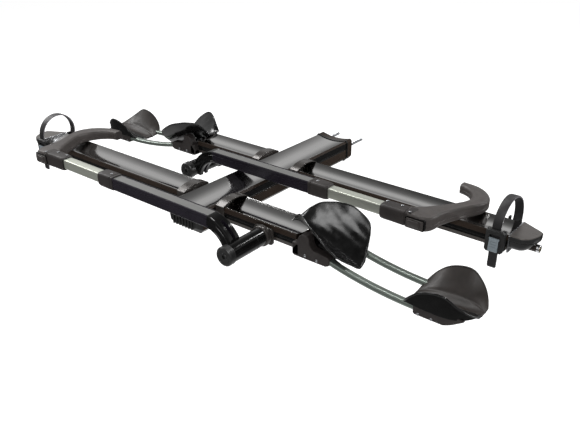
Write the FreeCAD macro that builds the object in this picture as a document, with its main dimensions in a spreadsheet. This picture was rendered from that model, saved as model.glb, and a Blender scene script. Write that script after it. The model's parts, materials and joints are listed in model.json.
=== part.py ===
"""Two-tray hitch-mounted platform bike rack, one solid for each real piece.

Row frame: +X along the trays, +Y along the spine towards the vehicle, +Z up, with the
origin at the centre of the flange face that bolts to the hitch mast.  Every tray piece
is drawn once, for the outer tray (2), in that tray's own frame: x along the tray with
the front-wheel cradle at +x, y from the tray's centre line, z from its top edges.  The
vehicle-side tray (1) is its mirror image in X, one tray spacing closer to the flange.
"""
import FreeCAD, Part
import os

import Sketcher
from FreeCAD import Placement, Rotation, Vector

OUT = "parts"
os.makedirs(OUT, exist_ok=True)

doc = FreeCAD.newDocument("BikeRack")

# ---------------------------------------------------------------- driving sizes
SIZES = {
    # spine, the beam that carries both trays
    "spine_top_width": 105.4, "spine_width": 117.0, "spine_height": 66.0,
    "spine_dish": 8.0, "spine_wall": 3.0, "spine_start": 30.0, "spine_length": 643.0,
    "plug_depth": 10.0, "flange_depth": 24.0, "flange_rim": 1.5,
    "stud_radius": 5.0, "shank_radius": 4.5, "stud_spread": 92.0, "stud_rise": 8.0,
    "stud_reach": 79.0,
    # trays
    "tray_spacing": 305.0, "flange_to_tray": 273.0,
    "tray_width": 87.0, "tray_top_width": 83.0, "tray_height": 40.0,
    "tray_dish": 7.0, "tray_wall": 3.0,
    "tray_root": 62.0, "tray_front": 318.0, "tray_rear": 712.0,
    "socket_depth": 27.5, "socket_width": 94.0, "socket_arch": 12.0, "socket_skin": 3.0,
    # front-wheel cradle
    "bar_offset": 48.0, "bar_width": 18.0, "bar_depth": 13.0, "bar_start": 372.0,
    "bar_end": 700.0, "sleeve_in": 36.0, "sleeve_out": 60.0,
    "chock_skin": 4.0, "chock_pin_x": 356.0, "chock_pin_z": -20.0,
    "chock_pin_radius": 6.0, "chock_hub_radius": 10.0, "rivet_radius": 2.5,
    # clamping arm
    "arm_y": -143.0, "arm_size": 34.0, "arm_centre_z": 23.0, "arm_wall": 2.7,
    "arm_mouth": -265.0, "pivot_x": 221.0, "pivot_z": -31.0,
    "barrel_radius": 23.0, "shaft_radius": 10.0, "running_gap": 0.05,
    "collar_length": 62.0, "collar_size": 39.4,
    "slide_size": 28.0, "slide_wall": 2.0, "slide_inner_end": -120.0, "slide_outer_end": -455.0,
    "head_size": 41.0, "hook_floor": 1.0, "hook_height": 34.0,
    "button_travel": 4.0, "button_gap": 0.4,
    # rear-wheel strap carriage
    "carriage_gap": 0.4, "carriage_wall": 4.6, "carriage_start": -706.0,
    "carriage_length": 42.0, "strap_x": -690.0, "strap_width": 22.0, "strap_skin": 4.0,
    "buckle_x": -686.0, "buckle_width": 46.0, "lever_width": 25.0,
    # tray's end cap, with the cable lock in it
    "cap_length": 60.0, "cap_width": 94.0, "cap_top": 1.5,
    "lock_radius": 10.0, "key_radius": 6.5, "lock_z": -34.0,
}

sheet = doc.addObject("Spreadsheet::Sheet", "Sizes")
for row, (alias, value) in enumerate(SIZES.items(), start=1):
    sheet.set(f"A{row}", alias.replace("_", " "))
    sheet.set(f"B{row}", str(value))
    sheet.setAlias(f"B{row}", alias)
doc.recompute()

NODES = []          # finished sub-parts, in the order that they are made


def number(value):
    """The number that a size expression stands for."""
    if isinstance(value, str):
        return float(sheet.evalExpression(value))
    return float(value)


def bind(obj, prop, value):
    """Bind a property to a size expression, or set it when it is a plain number."""
    if isinstance(value, str):
        obj.setExpression(prop, value)
    else:
        setattr(obj, prop, value)


# ---------------------------------------------------------------- sketching helpers
def nearest_end(sketch, edge, point):
    """Which end of a sketch edge (1 or 2) lies on the point."""
    return min((1, 2), key=lambda end: (sketch.getPoint(edge, end) - point).Length)


def outline(body, plane, points, start, arcs):
    """Closed outline on one of the body's own planes, every corner bound to the sheet.

    arcs maps an edge's index to a point that the edge bends through.
    """
    sketch = body.newObject("Sketcher::SketchObject", "Outline")
    origin_plane = [o for o in body.Origin.OriginFeatures if o.Role == plane + "_Plane"][0]
    sketch.AttachmentSupport = [(origin_plane, "")]
    sketch.MapMode = "FlatFace"
    sketch.AttachmentOffset = Placement(Vector(0, 0, number(start)), Rotation())
    if isinstance(start, str):
        sketch.setExpression(".AttachmentOffset.Base.z", start)
    corners = [Vector(number(x), number(y), 0) for x, y in points]
    edges = []
    for i, corner in enumerate(corners):
        following = corners[(i + 1) % len(corners)]
        if i in arcs:
            via = Vector(number(arcs[i][0]), number(arcs[i][1]), 0)
            curve = Part.Arc(corner, via, following)
        else:
            curve = Part.LineSegment(corner, following)
        edges.append(sketch.addGeometry(curve))
    for i, (corner, (x, y)) in enumerate(zip(corners, points)):
        here = nearest_end(sketch, edges[i], corner)
        before = nearest_end(sketch, edges[i - 1], corner)
        sketch.addConstraint(Sketcher.Constraint("Coincident", edges[i - 1], before, edges[i], here))
        for axis, wanted, now in (("DistanceX", x, corner.x), ("DistanceY", y, corner.y)):
            place = sketch.addConstraint(Sketcher.Constraint(axis, -1, 1, edges[i], here, now))
            if isinstance(wanted, str):
                sketch.setExpression(f"Constraints[{place}]", wanted)
    for i in arcs:
        radius = sketch.Geometry[edges[i]].Radius
        sketch.addConstraint(Sketcher.Constraint("Radius", edges[i], radius))
    return sketch


def circle(body, plane, centre, radius, start):
    """Round outline on one of the body's own planes."""
    sketch = body.newObject("Sketcher::SketchObject", "Circle")
    origin_plane = [o for o in body.Origin.OriginFeatures if o.Role == plane + "_Plane"][0]
    sketch.AttachmentSupport = [(origin_plane, "")]
    sketch.MapMode = "FlatFace"
    sketch.AttachmentOffset = Placement(Vector(0, 0, number(start)), Rotation())
    if isinstance(start, str):
        sketch.setExpression(".AttachmentOffset.Base.z", start)
    middle = Vector(number(centre[0]), number(centre[1]), 0)
    edge = sketch.addGeometry(Part.Circle(middle, Vector(0, 0, 1), number(radius)))
    for axis, wanted, now in (("DistanceX", centre[0], middle.x), ("DistanceY", centre[1], middle.y)):
        place = sketch.addConstraint(Sketcher.Constraint(axis, -1, 1, edge, 3, now))
        if isinstance(wanted, str):
            sketch.setExpression(f"Constraints[{place}]", wanted)
    place = sketch.addConstraint(Sketcher.Constraint("Radius", edge, number(radius)))
    if isinstance(radius, str):
        sketch.setExpression(f"Constraints[{place}]", radius)
    return sketch


def extrude(body, kind, sketch, length):
    """Pad or Pocket along the sketch's normal: +Z, +X, or -Y on the XZ plane."""
    feature = body.newObject("PartDesign::" + kind, kind)
    feature.Profile = sketch
    feature.Reversed = kind == "Pocket"
    bind(feature, "Length", length)
    return feature


def new_body(name):
    return doc.addObject("PartDesign::Body", name)


def pad(body, plane, points, start, length, arcs=None):
    return extrude(body, "Pad", outline(body, plane, points, start, arcs or {}), length)


def pocket(body, plane, points, start, length, arcs=None):
    return extrude(body, "Pocket", outline(body, plane, points, start, arcs or {}), length)


def pad_round(body, plane, centre, radius, start, length):
    return extrude(body, "Pad", circle(body, plane, centre, radius, start), length)


def pocket_round(body, plane, centre, radius, start, length):
    return extrude(body, "Pocket", circle(body, plane, centre, radius, start), length)


def rectangle(x_low, x_high, y_low, y_high):
    return [(x_low, y_low), (x_high, y_low), (x_high, y_high), (x_low, y_high)]


def both_sides(half):
    """A right-hand outline, top to bottom, with its mirror image on the left."""
    left = [(f"-({x})" if isinstance(x, str) else -x, y) for x, y in reversed(half)]
    return half + left


def soften(body, radius, wanted):
    """Round the body's edges that the test picks."""
    doc.recompute()
    tip = body.Tip
    names = [f"Edge{i}" for i, edge in enumerate(tip.Shape.Edges, start=1) if wanted(edge)]
    fillet = body.newObject("PartDesign::Fillet", "Fillet")
    fillet.Base = (tip, names)
    fillet.Radius = radius
    return fillet


def along(axis):
    """Test for straight edges that run along an axis."""
    def test(edge):
        if edge.Curve.TypeId != "Part::GeomLine":
            return False
        return abs(abs(edge.Curve.Direction.dot(axis)) - 1) < 1e-6
    return test


def cylinder(name, radius, length, base, direction):
    """Part cylinder from a base point along a direction, with bound sizes."""
    body = doc.addObject("Part::Cylinder", name)
    bind(body, "Radius", radius)
    bind(body, "Height", length)
    base = Vector(*[number(value) for value in base])
    body.Placement = Placement(base, Rotation(Vector(0, 0, 1), Vector(*direction)))
    return body


def cut(name, base, tools):
    """Part cut of one object by others."""
    tool = tools[0]
    if len(tools) > 1:
        tool = doc.addObject("Part::MultiFuse", name + "Tools")
        tool.Shapes = tools
    result = doc.addObject("Part::Cut", name)
    result.Base = base
    result.Tool = tool
    return result


def node(label, obj):
    """Register a finished sub-part."""
    obj.Label = label
    NODES.append(obj)
    return obj


def seat_on_tray(obj):
    """Carry a piece from the tray's own frame to the outer tray's place."""
    obj.setExpression("Placement.Base.y", "-(Sizes.flange_to_tray + Sizes.tray_spacing)")
    obj.setExpression("Placement.Base.z", "Sizes.spine_height / 2")


def mirror_to_inner(name, obj):
    """The same piece on the vehicle-side tray: mirrored in X and moved one spacing."""
    image = doc.addObject("Part::Mirroring", name)
    image.Source = obj
    image.Normal = Vector(1, 0, 0)
    image.setExpression("Placement.Base.y", "Sizes.tray_spacing")
    return image


def on_both_trays(label, obj):
    """Register a tray piece (2, the outer tray) and its image (1, the vehicle side)."""
    seat_on_tray(obj)
    node(label + "_2", obj)
    node(label + "_1", mirror_to_inner("Image", obj))


# ---------------------------------------------------------------- spine and flange
def spine_outline(rim=0.0):
    half = [
        (f"Sizes.spine_top_width / 2 + {rim}", f"Sizes.spine_height / 2 + {rim}"),
        (f"Sizes.spine_width / 2 + {rim}", "Sizes.spine_height / 2 - 6"),
        (f"Sizes.spine_width / 2 + {rim}", "11 - Sizes.spine_height / 2"),
        (f"Sizes.spine_width / 2 - 10 + {rim}", f"-(Sizes.spine_height / 2 + {rim})"),
    ]
    points = both_sides(half)
    dish = {len(points) - 1: (0, f"Sizes.spine_height / 2 + {rim} - Sizes.spine_dish")}
    return points, dish


def hollow_of_spine():
    half = [
        ("Sizes.spine_width / 2 - Sizes.spine_wall", "Sizes.spine_height / 2 - Sizes.spine_dish - 4"),
        ("Sizes.spine_width / 2 - Sizes.spine_wall", "13 - Sizes.spine_height / 2"),
        ("Sizes.spine_width / 2 - Sizes.spine_wall - 9", "Sizes.spine_wall - Sizes.spine_height / 2"),
    ]
    return both_sides(half)


def make_spine():
    body = new_body("Spine")
    points, dish = spine_outline()
    pad(body, "XZ", points, "Sizes.spine_start", "Sizes.spine_length", dish)
    pocket(body, "XZ", hollow_of_spine(), "Sizes.spine_start", "Sizes.spine_length")
    node("spine_beam", body)


def make_end_plug():
    """Moulded plug in the spine's outer end, with upright ribs on its face."""
    body = new_body("EndPlug")
    points, dish = spine_outline()
    end = "Sizes.spine_start + Sizes.spine_length"
    pad(body, "XZ", points, end, "Sizes.plug_depth", dish)
    pad(body, "XZ", hollow_of_spine(), end + " - 14", 14)
    rib_pitch, rib_width, ribs = 17.0, 8.0, 6
    for i in range(ribs):
        left = (i - (ribs - 1) / 2) * rib_pitch - rib_width / 2
        pad(body, "XZ", rectangle(left, left + rib_width, -26, 16), end + " + Sizes.plug_depth", 7)
    node("spine_end_plug", body)


def make_flange():
    gasket = new_body("Gasket")
    points, dish = spine_outline(2.0)
    pad(gasket, "XZ", points, "Sizes.flange_depth", "Sizes.spine_start - Sizes.flange_depth", dish)
    node("flange_gasket", gasket)

    plate = new_body("FlangePlate")
    points, dish = spine_outline(1.0)
    pad(plate, "XZ", points, 0, "Sizes.flange_depth", dish)
    for side in ("", "-"):
        centre = (side + "Sizes.stud_spread / 2", "Sizes.stud_rise")
        pocket_round(plate, "XZ", centre, "Sizes.shank_radius", 0, "Sizes.flange_depth - 2")
        pocket_round(plate, "XZ", centre, "Sizes.stud_radius + 0.6", 0, 1.5)
    node("flange_plate", plate)

    studs = []
    for side in ("", "-"):
        centre = (side + "Sizes.stud_spread / 2", "Sizes.stud_rise")
        stud = new_body("Stud")
        pad_round(stud, "XZ", centre, "Sizes.stud_radius", "-Sizes.stud_reach", "Sizes.stud_reach")
        pad_round(stud, "XZ", centre, "Sizes.shank_radius", 0, "Sizes.flange_depth - 2")
        studs.append(stud)
    group = doc.addObject("Part::Compound", "Studs")
    group.Links = studs
    node("flange_studs", group)


# ---------------------------------------------------------------- trays and sockets
def tray_outline():
    wide, groove = "Sizes.tray_width / 2", "Sizes.tray_width / 2 - 2.5"
    half = [
        ("Sizes.tray_top_width / 2", 0), (wide, -3), (wide, -23), (groove, -25),
        (groove, -27.5), (wide, -29.5), ("Sizes.tray_width / 2 - 1.5", "-Sizes.tray_height"),
    ]
    points = both_sides(half)
    return points, {len(points) - 1: (0, "-Sizes.tray_dish")}


def tray_hollow(inset):
    side = f"Sizes.tray_width / 2 - Sizes.tray_wall - 2.5 - {inset}"
    top = f"-(Sizes.tray_dish + Sizes.tray_wall + {inset})"
    return rectangle(f"-({side})", side, f"Sizes.tray_wall + {inset} - Sizes.tray_height", top)


def make_tray_beam(label, start, length):
    body = new_body(label)
    points, dish = tray_outline()
    pad(body, "YZ", points, start, length, dish)
    pocket(body, "YZ", tray_hollow(0), start, length)
    on_both_trays(label, body)


def make_socket(label, start, mouth):
    """Cast socket on the spine's side: the tray slides in under a raised arch."""
    body = new_body(label)
    half = [("Sizes.socket_width / 2", 0.5), ("Sizes.socket_width / 2", -38),
            ("Sizes.socket_width / 2 - 8", -46)]
    points = both_sides(half)
    arch = {len(points) - 1: (0, "Sizes.socket_arch")}
    pad(body, "YZ", points, start, "Sizes.socket_depth", arch)
    half = [("Sizes.tray_width / 2", 0), ("Sizes.tray_width / 2", "-Sizes.tray_height")]
    arch = {3: (0, "Sizes.socket_arch - Sizes.socket_skin")}
    pocket(body, "YZ", both_sides(half), mouth, "Sizes.socket_depth - 3.5", arch)
    on_both_trays(label, body)


def make_trays():
    make_tray_beam("tray_front_beam", "Sizes.tray_root", "Sizes.tray_front - Sizes.tray_root")
    make_tray_beam("tray_rear_beam", "-Sizes.tray_rear", "Sizes.tray_rear - Sizes.tray_root")
    wall = "Sizes.spine_width / 2"
    make_socket("tray_socket_front", wall, wall + " + 3.5")
    rear = "-(Sizes.spine_width / 2 + Sizes.socket_depth)"
    make_socket("tray_socket_rear", rear, rear)


# ---------------------------------------------------------------- front-wheel cradle
BAR_SIDES = {"near": -1, "far": 1}


def bar_outline():
    """Side view of a cradle bar: a long, shallow curve that sags between its ends."""
    up = "+ Sizes.bar_depth / 2"
    down = "- Sizes.bar_depth / 2"
    points = [
        ("Sizes.bar_start", "-22 " + up), ("Sizes.bar_end", "-62 " + up),
        ("Sizes.bar_end", "-62 " + down), ("Sizes.bar_start", "-22 " + down),
    ]
    return points, {0: (530, "-56 " + up), 2: (530, "-56 " + down)}


def make_bar(name, side):
    body = new_body(name)
    points, arcs = bar_outline()
    outer = f"{-side} * Sizes.bar_offset - Sizes.bar_width / 2"
    pad(body, "XZ", points, outer, "Sizes.bar_width", arcs)
    return body


def rounded_bar(name, side):
    body = make_bar(name, side)
    long_edge = 100.0
    soften(body, 4.0, lambda edge: edge.Length > long_edge)
    return body


def rivet_places():
    """x and z of the rivets through each bar's two sleeves."""
    return [(356, -37), (390, -39), (655, -72.5), (686, -72.5)]


def make_rivets(name, head):
    """Cradle rivets of one tray: shank, with a button head when it is the real piece."""
    pieces = []
    for side in (-1, 1):
        for x, z in rivet_places():
            foot = (x, side * (number("Sizes.sleeve_out") - 8), z)
            shank = cylinder("Shank", "Sizes.rivet_radius", 8, foot, (0, side, 0))
            if not head:
                pieces.append(shank)
                continue
            top = (x, side * number("Sizes.sleeve_out"), z)
            cap = doc.addObject("Part::Cone", "RivetHead")
            cap.Radius1, cap.Radius2, cap.Height = 3.6, 2.2, 1.8
            cap.Placement = Placement(Vector(*top), Rotation(Vector(0, 0, 1), Vector(0, side, 0)))
            rivet = doc.addObject("Part::Fuse", "Rivet")
            rivet.Base, rivet.Tool = shank, cap
            pieces.append(rivet)
    if not head:
        return pieces
    group = doc.addObject("Part::Compound", name)
    group.Links = pieces
    return group


def make_yoke():
    """Casting in the tray's end: two ears hold the bars, a cross pin holds the chock."""
    body = new_body("Yoke")
    pad(body, "YZ", rectangle(-36, 36, -35, -14), "Sizes.tray_front - 28", 29)
    pad(body, "YZ", rectangle("-Sizes.sleeve_out", "Sizes.sleeve_out", -45, -12), "Sizes.tray_front", 20)
    ear = [(318, -29), (318, -43), (324, -47), (414, -47), (424, -42), (424, -22),
           (418, -17), (374, -8), (366, 8), (358, 14), (345, 14), (337, 6), (330, -12)]
    thickness = "Sizes.sleeve_out - Sizes.sleeve_in"
    for start in ("-Sizes.sleeve_out", "Sizes.sleeve_in"):
        pad(body, "XZ", ear, start, thickness)
    pin = ("Sizes.chock_pin_x", "Sizes.chock_pin_z")
    pad_round(body, "XZ", pin, "Sizes.chock_pin_radius", "-Sizes.sleeve_in", "2 * Sizes.sleeve_in")
    bars = [make_bar("BarSpace", side) for side in BAR_SIDES.values()]
    on_both_trays("cradle_yoke", cut("YokeCut", body, bars + make_rivets("RivetHoles", False)))


def outer_bracket_body():
    """Bracket under the outer chock: a sleeve on each bar, joined by a cross plate."""
    body = new_body("OuterBracket")
    side_plate = [(642, -76), (712, -76), (742, -60), (757, -50), (745, -46), (716, -51),
                  (642, -51)]
    thickness = "Sizes.sleeve_out - Sizes.sleeve_in"
    pad(body, "YZ", rectangle("-Sizes.sleeve_in", "Sizes.sleeve_in", -76, -71), 660, 46)
    for start in ("-Sizes.sleeve_out", "Sizes.sleeve_in"):
        pad(body, "XZ", side_plate, start, thickness)
    return body


def make_outer_bracket():
    bars = [make_bar("BarSpace", side) for side in BAR_SIDES.values()]
    holes = make_rivets("RivetHoles", False)
    on_both_trays("outer_chock_bracket", cut("BracketCut", outer_bracket_body(), bars + holes))


def trough(stations, valley):
    """Moulded trough that a tyre beds into, lofted through sections across the tray.

    Each station is (x, half width, rim height); valley gives the floor height at x.
    """
    skin = number("Sizes.chock_skin")
    steps, steepness = 9, 1.4
    sections = []
    for x, half, rim in stations:
        floor = valley(x)
        upper = []
        for i in range(steps):
            across = 2 * i / (steps - 1) - 1
            height = floor + (rim - floor) * abs(across) ** steepness
            upper.append(Vector(x, half * across, height))
        lower = [point - Vector(0, 0, skin) for point in upper]
        top, bottom = Part.BSplineCurve(), Part.BSplineCurve()
        top.interpolate(upper)
        bottom.interpolate(lower)
        sections.append(Part.Wire([
            top.toShape(), Part.makeLine(upper[-1], lower[-1]),
            bottom.toShape().reversed(), Part.makeLine(lower[0], upper[0]),
        ]))
    return Part.makeLoft(sections, True, True)


def inner_valley(x):
    return 19.0 - 0.401 * (x - 289.0)


def outer_valley(x):
    return -68.0 + 0.1 * (x - 611.0)


INNER_STATIONS = [
    (289, 22, 22), (308, 30, 42), (328, 42, 55), (358, 62, 57), (388, 79, 51), (414, 84, 38),
    (438, 84, 20), (448, 74, 4), (456, 56, -14), (464, 36, -30), (471, 18, -44),
]
OUTER_STATIONS = [
    (612, 42, -58), (622, 64, -54), (636, 76, -40), (650, 82, -24), (676, 85, -17),
    (701, 86, -14), (725, 79, -20), (745, 66, -33), (760, 46, -42), (772, 22, -50),
]


def make_chocks():
    pin = Vector(number("Sizes.chock_pin_x"), 0, number("Sizes.chock_pin_z"))
    hub_half, rib_y, rib_width = 30.0, 22.0, 6.0
    shape = trough(INNER_STATIONS, inner_valley)
    hub_base = pin - Vector(0, hub_half, 0)
    shape = shape.fuse(Part.makeCylinder(number("Sizes.chock_hub_radius"), 2 * hub_half,
                                         hub_base, Vector(0, 1, 0)))
    rib = [(342, -24), (366, -26), (386, -14), (372, 0), (342, 19), (342, -24)]
    for low in (-rib_y - rib_width, rib_y):
        face = Part.Face(Part.makePolygon([Vector(x, low, z) for x, z in rib]))
        shape = shape.fuse(face.extrude(Vector(0, rib_width, 0)))
    bore = number("Sizes.chock_pin_radius + Sizes.running_gap")
    shape = shape.cut(Part.makeCylinder(bore, 2 * hub_half, hub_base, Vector(0, 1, 0)))
    inner = doc.addObject("Part::Feature", "InnerChock")
    inner.Shape = shape.removeSplitter()
    on_both_trays("inner_chock", inner)

    leaf = doc.addObject("Part::Feature", "OuterTrough")
    leaf.Shape = trough(OUTER_STATIONS, outer_valley)
    spaces = [make_bar("BarSpace", side) for side in BAR_SIDES.values()]
    outer = cut("OuterChock", leaf, spaces + [outer_bracket_body()])
    on_both_trays("outer_chock", outer)


def make_cradle():
    make_yoke()
    for name, side in BAR_SIDES.items():
        on_both_trays("cradle_bar_" + name, rounded_bar("Bar", side))
    make_outer_bracket()
    make_chocks()
    rivets = make_rivets("CradleRivets", True)
    seat_on_tray(rivets)
    group = doc.addObject("Part::Compound", "AllRivets")
    group.Links = [rivets, mirror_to_inner("RivetImage", rivets)]
    node("cradle_rivets", group)


# ---------------------------------------------------------------- clamping arm
ARM_LOW = "Sizes.arm_centre_z - Sizes.arm_size / 2"
ARM_HIGH = "Sizes.arm_centre_z + Sizes.arm_size / 2"
ARM_NEAR = "Sizes.arm_y - Sizes.arm_size / 2"
ARM_FAR = "Sizes.arm_y + Sizes.arm_size / 2"
PIVOT = ("Sizes.pivot_x", "Sizes.pivot_z")


def square_about_arm(size):
    """Square outline, across the arm, on the arm's centre line."""
    return rectangle(f"Sizes.arm_y - {size} / 2", f"Sizes.arm_y + {size} / 2",
                     f"Sizes.arm_centre_z - {size} / 2", f"Sizes.arm_centre_z + {size} / 2")


def make_arm_tube():
    """Gooseneck outer tube: straight over the tray, then bent down to the pivot barrel."""
    body = new_body("ArmTube")
    points = [("Sizes.arm_mouth", ARM_LOW), (133, ARM_LOW), (198, -52), (222, -40),
              (125, ARM_HIGH), ("Sizes.arm_mouth", ARM_HIGH)]
    arcs = {1: (180, -13), 3: (194, 12.5)}
    pad(body, "XZ", points, f"-({ARM_FAR})", "Sizes.arm_size", arcs)
    bore = "(Sizes.arm_size - 2 * Sizes.arm_wall)"
    pocket(body, "YZ", square_about_arm(bore), "Sizes.arm_mouth", 330)
    slot = rectangle(172, 214, "Sizes.arm_y - 5", "Sizes.arm_y + 5")
    pocket(body, "XY", slot, -70, 120)
    pocket_round(body, "XZ", PIVOT, "Sizes.barrel_radius", f"-({ARM_FAR})", "Sizes.arm_size")
    on_both_trays("arm_tube", body)


def make_pivot():
    mount = new_body("PivotMount")
    pad(mount, "XZ", rectangle(192, 250, -53, -9), "Sizes.tray_width / 2", 6.5)
    pad_round(mount, "XZ", PIVOT, 27, 50, 14)
    pocket_round(mount, "XZ", PIVOT, "Sizes.shaft_radius", 46, 18)
    on_both_trays("arm_pivot_mount", mount)

    shaft = new_body("PivotShaft")
    pad_round(shaft, "XZ", PIVOT, "Sizes.shaft_radius", 46, 130)
    on_both_trays("arm_pivot_shaft", shaft)

    barrel = new_body("Barrel")
    pad_round(barrel, "XZ", PIVOT, "Sizes.barrel_radius", 64.4, 117.6)
    bore = "Sizes.shaft_radius + Sizes.running_gap"
    pocket_round(barrel, "XZ", PIVOT, bore, 64.4, 117.6)
    on_both_trays("arm_barrel", barrel)

    cap = new_body("EndCap")
    pad_round(cap, "XZ", PIVOT, "Sizes.barrel_radius + 1.5", 172, 19)
    pocket_round(cap, "XZ", PIVOT, "Sizes.barrel_radius", 172, 10)
    pocket_round(cap, "XZ", PIVOT, 4.5, 185, 6)
    on_both_trays("arm_end_cap", cap)


def make_collar():
    """Moulded collar on the arm's mouth; the inner tube slides through it."""
    body = new_body("Collar")
    start = "Sizes.arm_mouth - 6"
    pad(body, "YZ", square_about_arm("Sizes.collar_size"), start, "Sizes.collar_length")
    soften(body, 6.0, along(Vector(1, 0, 0)))
    pocket(body, "YZ", square_about_arm("Sizes.arm_size"), "Sizes.arm_mouth", "Sizes.collar_length - 6")
    opening = "(Sizes.arm_size - 2 * Sizes.arm_wall)"
    pocket(body, "YZ", square_about_arm(opening), start, 6)
    on_both_trays("arm_collar", body)


def make_slide():
    body = new_body("SlideTube")
    length = "Sizes.slide_inner_end - Sizes.slide_outer_end"
    pad(body, "YZ", square_about_arm("Sizes.slide_size"), "Sizes.slide_outer_end", length)
    soften(body, 3.0, along(Vector(1, 0, 0)))
    hollow = "(Sizes.slide_size - 2 * Sizes.slide_wall)"
    pocket(body, "YZ", square_about_arm(hollow), "Sizes.slide_outer_end", length)
    on_both_trays("slide_tube", body)


HEAD_X = (-516.0, -428.0)
HEAD_FLOOR = 2.0
BUTTON_X = (-545.0, -503.0)
BUTTON_Z = (8.0, 31.0)
BUTTON_Y = (-169.0, -152.0)


def make_hook_head():
    """Head that holds the tube, with the flared hook that reaches over the tyre."""
    body = new_body("HookHead")
    hook = [
        (HEAD_X[0] + 10, -163), (-548, -163), (-566, -110), (-600, -25), (-608, 74), (-519, 123),
        (-518, 96), (-583, 58), (-575, -17), (-523, -78), (-490, -123),
    ]
    arcs = {1: (-563, -148), 2: (-579, -70), 3: (-623, 25), 4: (-574, 114), 6: (-558, 87),
            7: (-590, 20), 8: (-551, -44), 9: (-508, -103)}
    pad(body, "XY", hook, "Sizes.hook_floor", "Sizes.hook_height", arcs)
    width = HEAD_X[1] - HEAD_X[0]
    head = rectangle("Sizes.arm_y - 20", "Sizes.arm_y + 20", HEAD_FLOOR, "2 + Sizes.head_size")
    pad(body, "YZ", head, HEAD_X[0], width)
    socket = "Sizes.slide_outer_end"
    pocket(body, "YZ", square_about_arm("Sizes.slide_size"), socket, HEAD_X[1] - number(socket))
    gap = "Sizes.button_gap"
    hole = rectangle(f"{BUTTON_X[0]} - {gap}", f"{BUTTON_X[1]} + {gap}",
                     f"{BUTTON_Z[0]} - {gap}", f"{BUTTON_Z[1]} + {gap}")
    pocket(body, "XZ", hole, f"{-BUTTON_Y[1]} - Sizes.button_travel - 1", 30)
    on_both_trays("hook_head", body)

    button = new_body("Button")
    face = rectangle(*BUTTON_X, *BUTTON_Z)
    pad(button, "XZ", face, -BUTTON_Y[1], BUTTON_Y[1] - BUTTON_Y[0])
    soften(button, 3.0, along(Vector(0, 1, 0)))
    on_both_trays("release_button", button)

    screws = []
    for x, y in ((-437, -137), (-478, -137), (-509, -157)):
        top = number("2 + Sizes.head_size")
        screws.append(cylinder("Screw", 3.6, 1.6, (x, y, top), (0, 0, 1)))
    group = doc.addObject("Part::Compound", "HeadScrews")
    group.Links = screws
    on_both_trays("head_screws", group)


def make_arm():
    make_pivot()
    make_arm_tube()
    make_collar()
    make_slide()
    make_hook_head()


# ---------------------------------------------------------------- rear-wheel strap
BUCKLE_FRONT = -64.0
BUCKLE_Z = (-46.0, 13.0)
LEVER_PIVOT = (-64.5, -10.0)
LOCK = (0, "Sizes.lock_z")


def make_carriage():
    """Channel that slides along the tray's sides and carries the buckle and the strap."""
    body = new_body("Carriage")
    outer = "Sizes.tray_width / 2 + Sizes.carriage_gap + Sizes.carriage_wall"
    inner = "Sizes.tray_width / 2 + Sizes.carriage_gap"
    start, length = "Sizes.carriage_start", "Sizes.carriage_length"
    floor = "-(Sizes.tray_height + Sizes.carriage_gap)"
    pad(body, "YZ", rectangle(f"-({outer})", outer, floor + " - 5", -2), start, length)
    soften(body, 4.0, along(Vector(1, 0, 0)))
    pocket(body, "YZ", rectangle(f"-({inner})", inner, floor, 5), start, length)
    strap_low = number("Sizes.strap_x - Sizes.strap_width / 2") - 0.3
    strap_high = number("Sizes.strap_x + Sizes.strap_width / 2") + 0.3
    peg = 4.5
    anchor = [(strap_low - peg, -34), (strap_high + peg, -34), (strap_high + peg, 4), (strap_high, 4),
              (strap_high, -12), (strap_low, -12), (strap_low, 4), (strap_low - peg, 4)]
    pad(body, "XZ", anchor, f"-({inner}) - 11", 11)
    on_both_trays("strap_carriage", body)


def make_strap():
    """Toothed strap: up from the buckle, over the wheel rim and down to the anchor."""
    body = new_body("WheelStrap")
    points = [(-60, -88), (-60, 14), (54, -11.5), (50, -11.5), (-56, 14), (-56, -88)]
    arcs = {1: (6, 79), 3: (6, 75)}
    pad(body, "YZ", points, "Sizes.strap_x - Sizes.strap_width / 2", "Sizes.strap_width", arcs)
    on_both_trays("wheel_strap", body)


def make_buckle():
    frame = new_body("BuckleFrame")
    start = "Sizes.buckle_x - Sizes.buckle_width / 2"
    pad(frame, "YZ", rectangle(BUCKLE_FRONT, "-Sizes.tray_width / 2 - 5", *BUCKLE_Z), start,
        "Sizes.buckle_width")
    slot = rectangle(-60.5, -55.5, BUCKLE_Z[0], BUCKLE_Z[1])
    pocket(frame, "YZ", slot, "Sizes.strap_x - Sizes.strap_width / 2 - 0.5", "Sizes.strap_width + 1")
    window = rectangle("Sizes.buckle_x - Sizes.lever_width / 2 - 0.5",
                       "Sizes.buckle_x + Sizes.lever_width / 2 + 0.5", -43, 0)
    pocket(frame, "XZ", window, 60, 8)
    on_both_trays("buckle_frame", frame)

    lever = new_body("BuckleLever")
    start = "Sizes.buckle_x - Sizes.lever_width / 2"
    grip = [(-65, LEVER_PIVOT[1]), (-65, -36), (-61.4, -38), (-61.4, -41), (-67, -42),
            (-70, -39), (-68.6, -24), (-67.3, LEVER_PIVOT[1])]
    pad(lever, "YZ", grip, start, "Sizes.lever_width")
    pad_round(lever, "YZ", LEVER_PIVOT, 2.9, start, "Sizes.lever_width")
    on_both_trays("buckle_lever", lever)


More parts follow.
